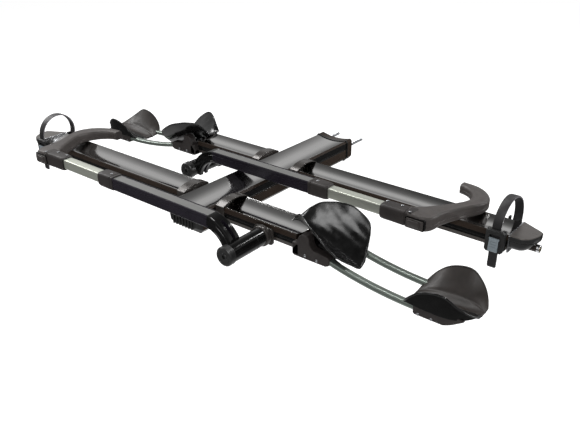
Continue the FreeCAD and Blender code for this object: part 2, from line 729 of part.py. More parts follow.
# ---------------------------------------------------------------- tray's end and cable lock
def make_end_cap():
    """Bow-shaped moulding that closes the tray's outer end, with a lock under its prow."""
    cap = new_body("TrayEndCap")
    root = "-Sizes.tray_rear"
    tip = root + " - Sizes.cap_length"
    side = "Sizes.cap_width / 2"
    plan = [(root, f"-({side})"), (root, side), (root + " - 34", side), (tip, 22),
            (tip, -22), (root + " - 34", f"-({side})")]
    pad(cap, "XY", plan, "-Sizes.tray_height - 6", "Sizes.tray_height + 6 + Sizes.cap_top",
        {2: (-764, 39), 4: (-764, -39)})
    keel = [(tip + " - 5", -14), (-748, -36), (root + " - 14", -44), (root + " - 1", -50),
            (tip + " - 5", -50)]
    pocket(cap, "XZ", keel, -60, 120, {0: (-762, -23)})
    pad(cap, "YZ", tray_hollow(0.5), root, 12)
    pocket_round(cap, "YZ", LOCK, "Sizes.lock_radius", tip + " - 5", "Sizes.cap_length + 1")
    on_both_trays("tray_end_cap", cap)


def make_lock():
    face = "-(Sizes.tray_rear + Sizes.cap_length + 4)"
    lock = new_body("LockBody")
    pad_round(lock, "YZ", LOCK, "Sizes.lock_radius", face, 60)
    pocket_round(lock, "YZ", LOCK, "Sizes.key_radius + Sizes.running_gap", face, 40)
    on_both_trays("lock_body", lock)

    key = new_body("LockCylinder")
    pad_round(key, "YZ", LOCK, "Sizes.key_radius", face + " - 1", 36)
    keyway = rectangle(-0.8, 0.8, "Sizes.lock_z - 3.5", "Sizes.lock_z + 3.5")
    pocket(key, "YZ", keyway, face + " - 1", 10)
    on_both_trays("lock_cylinder", key)


# ---------------------------------------------------------------- build and write
def check(obj):
    """Stop on a failed feature or a sub-part that isn't sound solid geometry."""
    bad = [word for word in ("Invalid", "Error") if word in obj.State]
    if bad:
        raise RuntimeError(f"{obj.Label}: {bad}")


make_spine()
make_end_plug()
make_flange()
make_trays()
make_cradle()
make_arm()
make_carriage()
make_strap()
make_buckle()
make_end_cap()
make_lock()
doc.recompute()

for item in doc.Objects:
    check(item)
for item in NODES:
    shape = item.Shape
    if shape.isNull() or not shape.isValid() or not shape.Solids:
        raise RuntimeError(f"{item.Label}: unsound shape")
    shape.exportStep(f"{OUT}/{item.Label}.step")
    print(f"{item.Label:24s} solids {len(shape.Solids):2d}  volume {shape.Volume / 1000:9.2f} cm3")
print(len(NODES), "nodes")
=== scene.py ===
import json
import math

import bmesh
import bpy
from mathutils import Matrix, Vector


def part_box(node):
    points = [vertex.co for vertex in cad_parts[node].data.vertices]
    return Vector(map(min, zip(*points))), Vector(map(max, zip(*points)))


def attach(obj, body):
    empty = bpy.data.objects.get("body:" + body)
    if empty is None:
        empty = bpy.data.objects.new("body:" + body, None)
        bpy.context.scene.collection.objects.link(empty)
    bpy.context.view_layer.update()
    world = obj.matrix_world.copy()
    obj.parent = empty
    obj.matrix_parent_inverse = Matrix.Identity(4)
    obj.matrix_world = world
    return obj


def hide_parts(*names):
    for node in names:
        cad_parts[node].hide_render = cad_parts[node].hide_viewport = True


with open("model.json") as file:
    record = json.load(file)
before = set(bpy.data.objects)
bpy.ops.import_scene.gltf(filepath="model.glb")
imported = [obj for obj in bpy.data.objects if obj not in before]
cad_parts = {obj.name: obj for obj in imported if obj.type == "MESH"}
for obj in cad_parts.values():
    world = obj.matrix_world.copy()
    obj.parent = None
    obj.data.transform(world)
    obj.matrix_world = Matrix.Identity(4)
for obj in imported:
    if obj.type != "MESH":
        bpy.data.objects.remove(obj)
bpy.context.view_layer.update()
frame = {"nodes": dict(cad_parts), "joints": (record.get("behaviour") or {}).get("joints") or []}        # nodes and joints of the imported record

# ---------------------------------------------------------------- the frame's layout
# Sizes are in millimetres. The pieces of a tray are drawn once, in the outer tray's own
# frame: x along the tray with the cradle at +x, y from its centre line, z from its top edges.
MM = 0.001


def corners(node):
    """Lowest and highest corner of a CAD node in the row frame."""
    return [[round(value / MM, 1) for value in corner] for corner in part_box(node)]


def centre_line(tray):
    """Y of a tray's centre line in the row frame."""
    low, high = corners(f"tray_front_beam_{tray}")
    return (low[1] + high[1]) / 2


TRAY_Y = {tray: centre_line(tray) for tray in (1, 2)}
RISE = corners("tray_front_beam_2")[1][2]


def tray_corners(node):
    """Lowest and highest corner of a CAD node of the outer tray, in the tray's frame."""
    return [[x, y - TRAY_Y[2], z - RISE] for x, y, z in corners(node + "_2")]


def joint_place(name):
    """Where a joint of the outer tray sits, in the tray's frame."""
    x, y, z = next(joint["pos_m"] for joint in frame["joints"] if joint["name"] == name)
    return round(x / MM, 1), round(y / MM - TRAY_Y[2], 1), round(z / MM - RISE, 1)


# The driving sizes: the beams' ends and sections, the arm's section, the joints' places.
(_, SPINE_END, _), (SPINE_HALF, SPINE_START, SPINE_TOP) = corners("spine_beam")
PLUG_TIP, PLUG_ROOT = (corner[1] for corner in corners("spine_end_plug"))
(FRONT_START, _, TRAY_FOOT), (FRONT_END, TRAY_HALF, _) = tray_corners("tray_front_beam")
REAR_END, REAR_START = (corner[0] for corner in tray_corners("tray_rear_beam"))
(ARM_START, ARM_NEAR, _), (_, ARM_FAR, ARM_TOP) = tray_corners("arm_tube")
ARM_HALF = (ARM_FAR - ARM_NEAR) / 2
ARM_Y, ARM_Z = ARM_NEAR + ARM_HALF, ARM_TOP - ARM_HALF
SLIDE_END, SLIDE_START = (corner[0] for corner in tray_corners("slide_tube"))
PIVOT = joint_place("arm_2_fold")[::2]
CHOCK_PIN = joint_place("inner_chock_2_tilt")[::2]
LEVER_PIN = joint_place("buckle_lever_2_lift")[1:]
LOCK_AXIS = joint_place("lock_cylinder_2_turn")[1:]


def to_row(point, tray):
    """A point of a tray (1 or 2), or of the spine (0), in the row frame, in metres."""
    x, y, z = point
    if tray == 0:
        return Vector((x, y, z)) * MM
    side = 1 if tray == 2 else -1
    return Vector((side * x, y + TRAY_Y[tray], z + RISE)) * MM


# ---------------------------------------------------------------- materials
def node_tree(name):
    """A new material with its node tree and its shader."""
    mat = bpy.data.materials.new(name)
    mat.use_nodes = True
    tree = mat.node_tree
    shader = tree.nodes["Principled BSDF"]
    return mat, tree, shader


def noise(tree, scale, detail=4.0, stretch=(1, 1, 1), rough=0.55):
    """Noise fixed to the piece; stretch below 1 draws it out along that axis."""
    place = tree.nodes.new("ShaderNodeTexCoord")
    mapping = tree.nodes.new("ShaderNodeMapping")
    mapping.inputs["Scale"].default_value = stretch
    texture = tree.nodes.new("ShaderNodeTexNoise")
    texture.inputs["Scale"].default_value = scale
    texture.inputs["Detail"].default_value = detail
    texture.inputs["Roughness"].default_value = rough
    tree.links.new(place.outputs["Object"], mapping.inputs["Vector"])
    tree.links.new(mapping.outputs["Vector"], texture.inputs["Vector"])
    return texture


def ramp(tree, source, stops):
    """Colour ramp on a source, from (position, colour) stops."""
    node = tree.nodes.new("ShaderNodeValToRGB")
    node.color_ramp.elements[0].position, node.color_ramp.elements[0].color = stops[0]
    node.color_ramp.elements[1].position, node.color_ramp.elements[1].color = stops[-1]
    for position, colour in stops[1:-1]:
        node.color_ramp.elements.new(position).color = colour
    tree.links.new(source, node.inputs["Fac"])
    return node


def shade(colour, factor):
    """The colour made lighter or darker."""
    return (colour[0] * factor, colour[1] * factor, colour[2] * factor, 1.0)


def finish_of(name, colour, rough, metallic=0.0, coat=0.0, vary=0.12, patch=14.0, grain=900.0,
              depth=0.0, stretch=(1, 1, 1), spread=0.06, coat_rough=0.05, spec=0.5):
    """A painted, moulded or plated surface: mottled colour, uneven gloss and a fine grain.

    vary is the colour's spread and patch its scale; spread is the gloss's; depth is the
    grain's height in millimetres."""
    mat, tree, shader = node_tree(name)
    shader.inputs["Metallic"].default_value = metallic
    shader.inputs["Coat Weight"].default_value = coat
    shader.inputs["Coat Roughness"].default_value = coat_rough
    shader.inputs["Specular IOR Level"].default_value = spec
    cloud = noise(tree, patch, stretch=stretch)
    tint = ramp(tree, cloud.outputs["Fac"],
                [(0.25, shade(colour, 1 - vary)), (0.75, shade(colour, 1 + vary))])
    tree.links.new(tint.outputs["Color"], shader.inputs["Base Color"])
    smear = noise(tree, patch * 2.3, stretch=stretch)
    gloss = tree.nodes.new("ShaderNodeMapRange")
    gloss.inputs["From Min"].default_value = 0.3
    gloss.inputs["From Max"].default_value = 0.7
    gloss.inputs["To Min"].default_value = max(0.02, rough - spread)
    gloss.inputs["To Max"].default_value = rough + spread
    tree.links.new(smear.outputs["Fac"], gloss.inputs["Value"])
    tree.links.new(gloss.outputs["Result"], shader.inputs["Roughness"])
    if depth:
        fine = noise(tree, grain, detail=3.0, stretch=stretch)
        bump = tree.nodes.new("ShaderNodeBump")
        bump.inputs["Strength"].default_value = 0.6
        bump.inputs["Distance"].default_value = depth * MM
        tree.links.new(fine.outputs["Fac"], bump.inputs["Height"])
        tree.links.new(bump.outputs["Normal"], shader.inputs["Normal"])
    return mat


MATS = {
    "pewter": finish_of("pewter_top", (0.43, 0.425, 0.42), 0.10, metallic=1.0, vary=0.04,
                        patch=9.0, spread=0.03),
    # painted shade: a darker brown copy of the pewter top's paint, for the shaded side walls
    "wall": finish_of("painted_shade_wall", (0.024, 0.017, 0.013), 0.22, vary=0.2, patch=11.0,
                      grain=2200.0, depth=0.02, spec=0.14),
    # painted reflection: a lighter strip along the foot of the beams' walls
    "strip": finish_of("painted_reflection_strip", (0.050, 0.044, 0.040), 0.16, metallic=0.5, vary=0.15),
    "black": finish_of("black_gloss", (0.004, 0.004, 0.004), 0.12, vary=0.3, patch=20.0, spec=0.3),
    "cast": finish_of("cast_gloss", (0.045, 0.040, 0.037), 0.24, metallic=0.35, vary=0.2, patch=20.0),
    "gloss": finish_of("chock_gloss", (0.004, 0.004, 0.004), 0.20, vary=0.4, patch=26.0,
                       grain=60.0, depth=0.06, spread=0.08, spec=0.42),
    "cap": finish_of("cap_brushed", (0.125, 0.115, 0.108), 0.32, metallic=0.6, vary=0.10, patch=50.0,
                     grain=1200.0, depth=0.05, stretch=(0.08, 1, 1)),
    "barrel": finish_of("lock_barrel", (0.020, 0.015, 0.012), 0.35, vary=0.2, spec=0.35),
    "leaf": finish_of("leaf_satin", (0.020, 0.016, 0.014), 0.42, vary=0.25, patch=30.0,
                      grain=1400.0, depth=0.10, spec=0.3),
    "moulded": finish_of("moulded_brown", (0.024, 0.020, 0.019), 0.50, vary=0.22, patch=30.0,
                         grain=1500.0, depth=0.16, spec=0.3),
    "panel": finish_of("arm_panel", (0.20, 0.20, 0.195), 0.36, metallic=0.7, vary=0.06, patch=40.0,
                       grain=2400.0, depth=0.03, stretch=(0.1, 1, 1)),
    "arm": finish_of("arm_side", (0.013, 0.011, 0.016), 0.22, vary=0.15,
                     patch=16.0, grain=2200.0, depth=0.02, spec=0.28),
    "hook": finish_of("hook_moulded", (0.052, 0.045, 0.042), 0.46, vary=0.16, patch=34.0,
                      grain=1500.0, depth=0.14, spec=0.4),
    # painted highlight: lighter grey for the strap's side faces, standing for light caught along its edges
    "edge": finish_of("painted_highlight_edge", (0.16, 0.15, 0.165), 0.35, vary=0.15, patch=60.0),
    "slide": finish_of("slide_silver", (0.46, 0.475, 0.42), 0.36, metallic=0.7, vary=0.07, patch=60.0,
                       grain=1500.0, depth=0.02, stretch=(0.05, 1, 1)),
    "bar": finish_of("bar_anodised", (0.20, 0.23, 0.205), 0.34, metallic=0.8, coat=0.2, vary=0.08,
                     patch=50.0, grain=1500.0, depth=0.02, stretch=(0.05, 1, 1)),
    "zinc": finish_of("bright_zinc", (0.55, 0.56, 0.58), 0.25, metallic=1.0, vary=0.10, patch=120.0,
                      grain=2600.0, depth=0.03),
    "chrome": finish_of("chrome", (0.80, 0.81, 0.83), 0.06, metallic=1.0, vary=0.03, spread=0.02),
    "brass": finish_of("lock_brass", (0.42, 0.36, 0.24), 0.25, metallic=1.0, vary=0.1, patch=90.0),
    "rubber": finish_of("strap_rubber", (0.010, 0.009, 0.010), 0.50, vary=0.25, patch=40.0,
                        grain=1800.0, depth=0.15),
    "plastic": finish_of("black_satin", (0.012, 0.012, 0.012), 0.38, vary=0.3, patch=40.0,
                         grain=1800.0, depth=0.08),
    "lever": finish_of("lever_grey", (0.17, 0.20, 0.22), 0.42, vary=0.08, patch=60.0,
                       grain=1600.0, depth=0.08),
    "button": finish_of("button_grey", (0.040, 0.034, 0.032), 0.40, vary=0.12, patch=60.0,
                        grain=1600.0, depth=0.10),
}


# ---------------------------------------------------------------- outlines and solids
def bend(start, via, end, steps):
    """Points on the arc from start through via, up to but without its end."""
    ax, ay = start
    bx, by = via
    cx, cy = end
    d = 2 * (ax * (by - cy) + bx * (cy - ay) + cx * (ay - by))
    if abs(d) < 1e-9:
        return [start]
    sq = [ax * ax + ay * ay, bx * bx + by * by, cx * cx + cy * cy]
    ux = (sq[0] * (by - cy) + sq[1] * (cy - ay) + sq[2] * (ay - by)) / d
    uy = (sq[0] * (cx - bx) + sq[1] * (ax - cx) + sq[2] * (bx - ax)) / d
    radius = math.hypot(ax - ux, ay - uy)
    a0, am, a1 = (math.atan2(y - uy, x - ux) for x, y in (start, via, end))
    turn = (a1 - a0) % math.tau
    if (am - a0) % math.tau > turn:
        turn -= math.tau
    return [(ux + radius * math.cos(a0 + turn * i / steps),
             uy + radius * math.sin(a0 + turn * i / steps)) for i in range(steps)]


def outline(corners, arcs=None, steps=12):
    """Closed outline; arcs maps an edge's index to a point that the edge bends through."""
    points = []
    for i, corner in enumerate(corners):
        following = corners[(i + 1) % len(corners)]
        points += bend(corner, arcs[i], following, steps) if arcs and i in arcs else [corner]
    return points


def rounded(x0, x1, y0, y1, radius, steps=5):
    """Rectangle with rounded corners."""
    points = []
    centres = [(x1 - radius, y1 - radius), (x0 + radius, y1 - radius),
               (x0 + radius, y0 + radius), (x1 - radius, y0 + radius)]
    for quarter, (cx, cy) in enumerate(centres):
        for i in range(steps + 1):
            a = math.pi / 2 * (quarter + i / steps)
            points.append((cx + radius * math.cos(a), cy + radius * math.sin(a)))
    return points


def spline(points, steps):
    """Smooth curve through the points (Catmull-Rom), any dimension."""
    points = [Vector(p) for p in points]
    ends = [points[0] * 2 - points[1]] + points + [points[-1] * 2 - points[-2]]
    out = []
    for i in range(1, len(ends) - 2):
        p0, p1, p2, p3 = ends[i - 1:i + 3]
        for k in range(steps):
            t = k / steps
            out.append(0.5 * (2 * p1 + (p2 - p0) * t + (2 * p0 - 5 * p1 + 4 * p2 - p3) * t * t
                              + (3 * p1 - p0 - 3 * p2 + p3) * t ** 3))
    out.append(points[-1])
    return out


def lifted(point, height, axis):
    """A point of a flat outline, placed at a height along x, y or z."""
    u, v = point
    return {"x": (height, u, v), "y": (u, height, v), "z": (u, v, height)}[axis]


class Solid:
    """Closed skins in millimetres; paint holds the material index of some faces."""

    def __init__(self):
        self.points, self.faces, self.paint = [], [], {}

    def tube(self, line, radius, sides=8):
        """Round bead along a closed line."""
        rings = []
        for i, point in enumerate(line):
            along = Vector(line[(i + 1) % len(line)]) - Vector(line[i - 1])
            across = along.cross(Vector((0.2, 0.1, 1))).normalized()
            up = across.cross(along).normalized()
            rings.append([Vector(point) + radius * (across * math.cos(math.tau * j / sides)
                                                    + up * math.sin(math.tau * j / sides))
                          for j in range(sides)])
        return self.loft(rings + rings[:1], caps=False)

    def loft(self, rings, caps=True, paint=None):
        """Skin over rings of equal length; paint gives a material index for each strip."""
        base, n = len(self.points), len(rings[0])
        for ring in rings:
            self.points += [Vector(p) for p in ring]
        for i in range(len(rings) - 1):
            for j in range(n):
                a, b = base + i * n + j, base + i * n + (j + 1) % n
                if paint:
                    self.paint[len(self.faces)] = paint[j]
                self.faces.append((a, b, b + n, a + n))
        if caps:
            last = base + (len(rings) - 1) * n
            self.faces.append(tuple(base + j for j in reversed(range(n))))
            self.faces.append(tuple(last + j for j in range(n)))
        return self

    def prism(self, shape, axis, low, high):
        """Extrude a flat outline along x, y or z."""
        return self.loft([[lifted(p, height, axis) for p in shape] for height in (low, high)])

    def turned(self, centre, profile, axis="y", sides=40):
        """Lathe: profile is (position along the axis, radius); centre is across the axis."""
        rings = []
        for height, radius in profile:
            ring = []
            for j in range(sides):
                a = math.tau * j / sides
                spot = (centre[0] + radius * math.cos(a), centre[1] + radius * math.sin(a))
                ring.append(lifted(spot, height, axis))
            rings.append(ring)
        return self.loft(rings)

    def ring(self, outer, inner, axis, low, high):
        """Extruded ring between two outlines that have the same number of points."""
        base, n = len(self.points), len(outer)
        for shape, height in ((outer, low), (outer, high), (inner, high), (inner, low)):
            self.points += [Vector(lifted(p, height, axis)) for p in shape]
        for k in range(4):
            for j in range(n):
                a, b = base + k * n + j, base + k * n + (j + 1) % n
                c, d = base + (k + 1) % 4 * n + (j + 1) % n, base + (k + 1) % 4 * n + j
                self.faces.append((a, b, c, d))
        return self

    def sheet(self, top, bottom):
        """Thick sheet from two grids of points (rows of equal length)."""
        base, rows, cols = len(self.points), len(top), len(top[0])
        for grid in (top, bottom):
            for row in grid:
                self.points += [Vector(p) for p in row]
        off = rows * cols

        def at(i, j):
            return base + i * cols + j
        for i in range(rows - 1):
            for j in range(cols - 1):
                quad = (at(i, j), at(i, j + 1), at(i + 1, j + 1), at(i + 1, j))
                self.faces.append(quad)
                self.faces.append(tuple(off + k for k in reversed(quad)))
        rim = [at(0, j) for j in range(cols)] + [at(i, cols - 1) for i in range(1, rows)]
        rim += [at(rows - 1, j) for j in range(cols - 2, -1, -1)]
        rim += [at(i, 0) for i in range(rows - 2, 0, -1)]
        for k, a in enumerate(rim):
            b = rim[(k + 1) % len(rim)]
            self.faces.append((a, a + off, b + off, b))
        return self


def mesh_of(name, solid, tray):
    """Mesh of a solid on a tray, with its faces outward."""
    mesh = bpy.data.meshes.new(name)
    mesh.from_pydata([to_row(p, tray) for p in solid.points], [], solid.faces)
    bm = bmesh.new()
    bm.from_mesh(mesh)
    bmesh.ops.recalc_face_normals(bm, faces=bm.faces)
    bm.to_mesh(mesh)
    bm.free()
    return mesh


def make(name, solid, mats, body, node=None, bevel=0.0, pick=None, trays=(1, 2),
         angle=32.0, cutters=(), segments=2):
    """Build the piece on each tray, give it its finishes, and ride it on its CAD body.

    Tray 0 is the spine. pick gives a face's material index from the face's centre. node is
    the CAD node that the piece replaces."""
    made = []
    for tray in trays:
        tag = f"_{tray}" if tray else ""
        mesh = mesh_of(name + tag, solid, tray)
        for mat in mats:
            mesh.materials.append(MATS[mat])
        for index, finish in solid.paint.items():
            mesh.polygons[index].material_index = finish
        if pick:
            for poly in mesh.polygons:
                ring = [solid.points[k] for k in poly.vertices]
                centre = sum(ring, Vector()) / len(ring)
                poly.material_index = pick(centre)
        for poly in mesh.polygons:
            poly.use_smooth = True
        piece = bpy.data.objects.new(name + tag, mesh)
        bpy.context.scene.collection.objects.link(piece)
        for cutter in cutters:
            carve(piece, cutter, tray)
        if bevel:
            edge = piece.modifiers.new("edges", "BEVEL")
            edge.width, edge.segments = bevel * MM, segments
            edge.limit_method, edge.angle_limit = "ANGLE", math.radians(angle)
            edge.harden_normals = True
        else:
            piece.data.set_sharp_from_angle(angle=math.radians(angle))
        if node:
            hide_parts(node + tag)
        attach(piece, body if body == "frame" else body + tag)
        made.append(piece)
    return made


def carve(piece, cutter, tray):
    """Cut a solid out of the piece."""
    tool = bpy.data.objects.new("cutter", mesh_of("cutter", cutter, tray))
    bpy.context.scene.collection.objects.link(tool)
    cut = piece.modifiers.new("cut", "BOOLEAN")
    cut.object, cut.solver, cut.operation = tool, "EXACT", "DIFFERENCE"
    cut.use_self = True
    bpy.context.view_layer.update()
    result = bpy.data.meshes.new_from_object(piece.evaluated_get(bpy.context.evaluated_depsgraph_get()))
    piece.modifiers.clear()
    piece.data = result
    bpy.data.objects.remove(tool)


def dress(node, mat, trays=(1, 2)):
    """Give a CAD node that keeps its shape a better material."""
    for tray in trays:
        mesh = frame["nodes"][node + (f"_{tray}" if tray else "")].data
        for i in range(len(mesh.materials)):
            mesh.materials[i] = MATS[mat]


# ---------------------------------------------------------------- spine
def both_sides(half):
    """Mirror half an outline, so that its edge across the top has the index 7."""
    return [(-x, y) for x, y in reversed(half)] + half


def spine_outline():
    """Across the spine (x, z): a dished top, a groove in each wall, narrowing to its foot."""
    half, top = SPINE_HALF, SPINE_TOP
    groove = half - 1.3
    corner = [(half - 5.8, top), (half, top - 6), (half, 9), (groove, 8), (groove, 6), (half, 5),
              (half, -22), (half - 10, -top)]
    return outline(both_sides(corner), {7: (0, top - 8)}, 24)


def build_spine():
    """The beam, its plug, and the flange that bolts to the vehicle."""
    shape = spine_outline()
    beam = Solid().prism(shape, "y", SPINE_END, SPINE_START)

    def pick(c):
        """The dish is 0; the walls 1, a darker copy of the dish's paint as painted shade; the grooves, dark
        joints, and the walls above them 2, black as painted reflection; the foot 3, lighter as painted
        reflection.
        """
        if c.z > SPINE_TOP - 13 and abs(c.x) < SPINE_HALF - 5.5:
            return 0
        in_groove = abs(abs(c.x) - SPINE_HALF + 1) < 0.9 and 4.5 < c.z < 9.5
        if in_groove or (abs(c.x) > SPINE_HALF - 0.5 and c.z > 9):
            return 2
        return 1 if c.z > -20 else 3
    make("spine_shell", beam, ["pewter", "wall", "black", "strip"], "frame", "spine_beam",
         bevel=0.8, pick=pick, trays=(0,))
    make("spine_plug", spine_plug(shape), ["plastic"], "frame", "spine_end_plug", bevel=0.6,
         trays=(0,))
    dress("flange_gasket", "black", (0,))
    # The flange plate gets the walls' darker copy of the paint: painted shade.
    dress("flange_plate", "wall", (0,))
    make("flange_stud_pair", stud_pair(), ["zinc"], "frame", "flange_studs", trays=(0,))


def spine_plug(shape):
    """Plug with a tongue inside the beam, a nose that shrinks and rises, and upright ribs."""
    plug = Solid()
    plug.loft([[(x * 0.9, y, z * 0.86) for x, z in shape] for y in (PLUG_ROOT, SPINE_END)])
    rings = []
    for out, scale, rise in ((0, 1.0, 0), (3, 0.97, 2), (11, 0.88, 7), (14, 0.84, 9)):
        ring = []
        for x, z in shape:
            low = max(0.0, -z - 10) / (SPINE_TOP - 10)
            ring.append((x * (scale - 0.012 * rise * low), SPINE_END - out, z * scale + rise * low))
        rings.append(ring)
    plug.loft(rings)
    count, pitch, half = 7, 11, 2.2
    for i in range(count):
        x = pitch * (i - (count - 1) // 2)
        plug.prism(rounded(x - half, x + half, -22, 14, 1.5, 3), "y", PLUG_TIP, PLUG_TIP + 6)
    return plug


def stud_pair():
    """The two studs, threaded beyond the flange."""
    low, high = corners("flange_studs")
    height, radius = (low[2] + high[2]) / 2, (high[2] - low[2]) / 2
    pitch, root, turns = 1.4, radius - 0.6, 40
    profile = [(-2, radius), (20, radius)]
    for i in range(turns):
        profile += [(21 + pitch * i, root), (21 + pitch * (i + 0.5), radius)]
    profile += [(high[1] - 1, radius - 0.4), (high[1], radius - 1)]
    studs = Solid()
    for side in (-1, 1):
        studs.turned((side * (high[0] - radius), height), profile, "y", 20)
    return studs


# ---------------------------------------------------------------- trays
def build_trays():
    """The two beams of each tray: a dished top over grooved walls."""
    half, groove = TRAY_HALF, TRAY_HALF - 2.5
    corner = [(half - 2, 0), (half, -3), (half, -15), (half, -23), (groove, -25), (groove, -27.5),
              (half, -29.5), (half - 1.5, TRAY_FOOT)]
    shape = outline(both_sides(corner), {7: (0, -7)}, 20)

    def pick(c):
        """The dish is 0; the walls 1, a darker copy of the dish's paint as painted shade; the band round the
        groove 2, black as painted reflection; the foot 3, lighter as painted reflection.
        """
        if c.z > -9 and abs(c.y) < half - 1.9:
            return 0
        if -28.6 < c.z < -15.5:
            return 2
        return 1 if c.z > -16 else 3
    for name, low, high in (("front", FRONT_START, FRONT_END), ("rear", REAR_END, REAR_START)):
        beam = Solid().prism(shape, "x", low, high)
        make(f"tray_{name}_shell", beam, ["pewter", "wall", "black", "strip"], "frame",
             f"tray_{name}_beam", bevel=0.5, pick=pick)


def build_sockets():
    """Arched sockets that hold the tray beams against the spine's sides."""
    skin, reach, half = 3.5, 24, TRAY_HALF
    wide = half + skin
    outer = outline([(8 - wide, -46), (-wide, -38), (-wide, 0.5), (wide, 0.5), (wide, -38), (wide - 8, -46)],
                    {2: (0, 12)}, 20)
    inner = outline([(1.5 - half, -40), (-half, -39), (-half, 0), (half, 0), (half, -39), (half - 1.5, -40)],
                    {2: (0, 9)}, 20)
    for name, low, back in (("front", FRONT_START, SPINE_HALF), ("rear", REAR_START - reach, REAR_START)):
        socket = Solid().ring(outer, inner, "x", low, low + reach)
        socket.prism(outer, "x", back, back + skin)
        make(f"socket_{name}", socket, ["cast"], "frame", f"tray_socket_{name}", bevel=1.2)


# ---------------------------------------------------------------- cradle
def bar_line(steps=28):
    """Centre line of a cradle bar in side view."""
    return bend((372, -22), (530, -56), (700, -62), steps) + [(700, -62)]


def build_bars():
    """The two long bars that carry the outer chock."""
    line = bar_line()
    section = rounded(-9, 9, -6.5, 6.5, 4.5, 4)
    apart = 48
    for name, side in (("near", -1), ("far", 1)):
        rings = []
        for i, (x, z) in enumerate(line):
            px, pz = line[max(0, i - 1)]
            qx, qz = line[min(len(line) - 1, i + 1)]
            length = math.hypot(qx - px, qz - pz)
            nx, nz = -(qz - pz) / length, (qx - px) / length
            rings.append([(x + nx * h, side * apart + w, z + nz * h) for w, h in section])
        make(f"bar_{name}", Solid().loft(rings), ["bar"], "frame", f"cradle_bar_{name}")


def build_yoke():
    """Casting in the tray's end, with two ears and the pin that the inner chock turns on."""
    yoke = Solid()
    ear = outline([(318, -29), (318, -43), (324, -47), (414, -47), (424, -42), (424, -25),
                   (418, -21), (378, -17), (367, 4), (358, 14), (345, 14), (337, 6), (330, -12)],
                  {7: (370, -8), 8: (364, 11), 12: (325, -20)}, 8)
    for low, high in ((-60, -37), (37, 60)):
        yoke.prism(ear, "y", low, high)
    yoke.prism(rounded(-60, 60, -45, -12, 4), "x", 318, 338)
    yoke.prism(rounded(-36, 36, -35, -14, 3), "x", 300, 320)
    yoke.turned(CHOCK_PIN, [(-38, 6), (38, 6)], "y", 24)
    make("yoke_casting", yoke, ["moulded"], "frame", "cradle_yoke", bevel=2.4, segments=3)


def build_bracket():
    """Two side plates and a cross plate that hold the outer chock on the bars."""
    bracket = Solid()
    side_plate = outline([(642, -72), (646, -76), (712, -76), (742, -60), (757, -50), (745, -46),
                          (716, -51), (642, -51)], {2: (728, -69)}, 6)
    for low, high in ((-60, -36.5), (36.5, 60)):
        bracket.prism(side_plate, "y", low, high)
    bracket.prism(rounded(660, 706, -76, -71, 2), "y", -38, 38)
    make("outer_bracket", bracket, ["moulded"], "frame", "outer_chock_bracket", bevel=1.8)


def build_rivets():
    """Domed rivets through the yoke and the bracket, eight on each tray."""
    rivets = Solid()
    domed = [(58, 2.5), (60, 3.7), (60.8, 3.5), (61.5, 2.6), (61.8, 1.0)]
    for side in (-1, 1):
        for place in ((356, -37), (390, -39), (655, -72.5), (686, -72.5)):
            rivets.turned(place, [(side * height, radius) for height, radius in domed], "y", 20)
    for piece in make("rivets", rivets, ["zinc"], "frame"):
        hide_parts("cradle_rivets")


def station_at(stations, x):
    """Half width and rim height of a chock at x, between its stations."""
    for a, b in zip(stations, stations[1:]):
        if a[0] <= x <= b[0]:
            t = (x - a[0]) / (b[0] - a[0])
            return a[1] + (b[1] - a[1]) * t, a[2] + (b[2] - a[2]) * t
    return stations[-1][1:] if x > stations[-1][0] else stations[0][1:]


def chock_grids(stations, valley, skin, relief, rows=64, cols=57, power=1.4, web=None):
    """Top and bottom surface of a trough: stations are (x, half width, rim height), valley
    gives its floor and relief its flutes, and web is how low the sides reach, if they do."""
    web_from = 0.84
    stations = [tuple(p) for p in spline(stations, 8)]
    low, high = stations[0][0], stations[-1][0]
    top, bottom = [], []
    for i in range(rows):
        x = low + (high - low) * i / (rows - 1)
        half, rim = station_at(stations, x)
        floor = valley(x)
        row_top, row_bottom = [], []
        for j in range(cols):
            s = 2 * j / (cols - 1) - 1
            z = floor + (rim - floor) * abs(s) ** power
            inset = relief(x, half * s, s)
            row_top.append((x, half * s, z + inset))
            under = z - skin + inset * 0.5
            if web is not None and abs(s) > web_from:
                under = min(under, web)
            row_bottom.append((x, half * s, under))
        top.append(row_top)
        bottom.append(row_bottom)
    return top, bottom


def rim_of(grid):
    """The closed edge line of a chock's top surface, thinned, in the middle of its skin."""
    line = grid[0][:-1] + [row[-1] for row in grid[:-1]]
    line += grid[-1][:0:-1] + [row[0] for row in grid[:0:-1]]
    return [(x, y, z - 2.0) for x, y, z in line[::2]]


def build_inner_chock():
    """Glossy trough with flutes, hung on its pin by thin walls."""
    stations = [(289, 22, 22), (308, 30, 42), (328, 42, 55), (358, 62, 57), (388, 79, 51),
                (414, 84, 38), (438, 84, 20), (448, 74, 4), (456, 56, -14), (464, 36, -30),
                (471, 18, -44)]
    start = stations[0][0]

    def flutes(x, y, s):
        fade = min(1.0, max(0.0, abs(y) - 10) / 14) * min(1.0, (x - start) / 30)
        return 0.32 * math.sin(abs(y) * math.tau / 19.0) * fade
    grids = chock_grids(stations, lambda x: 19.0 - 0.401 * (x - start), 4.0, flutes)
    scoop = Solid().sheet(*grids)
    scoop.turned(CHOCK_PIN, [(-30, 10), (30, 10)], "y", 28)
    wall = [(344, -34), (352, -40), (404, -49), (428, -46), (438, -42), (344, -4.5)]
    for y in (-32, -11, 11, 32):
        scoop.prism(wall, "y", y - 1.5, y + 1.5)
    for side in (-1, 1):
        for x in (366, 379, 392, 405):
            foot, head = -36 - 0.17 * (x - 344), -6 - 0.4 * (x - 344)
            scoop.prism([(x - 1.2, foot), (x + 1.2, foot), (x + 1.2, head), (x - 1.2, head)], "y",
                        *sorted((side * 33.4, side * 35.6)))
    scoop.tube(rim_of(grids[0]), 2.3)
    make("inner_scoop", scoop, ["gloss"], "chock", "inner_chock", bevel=1.0, angle=50)


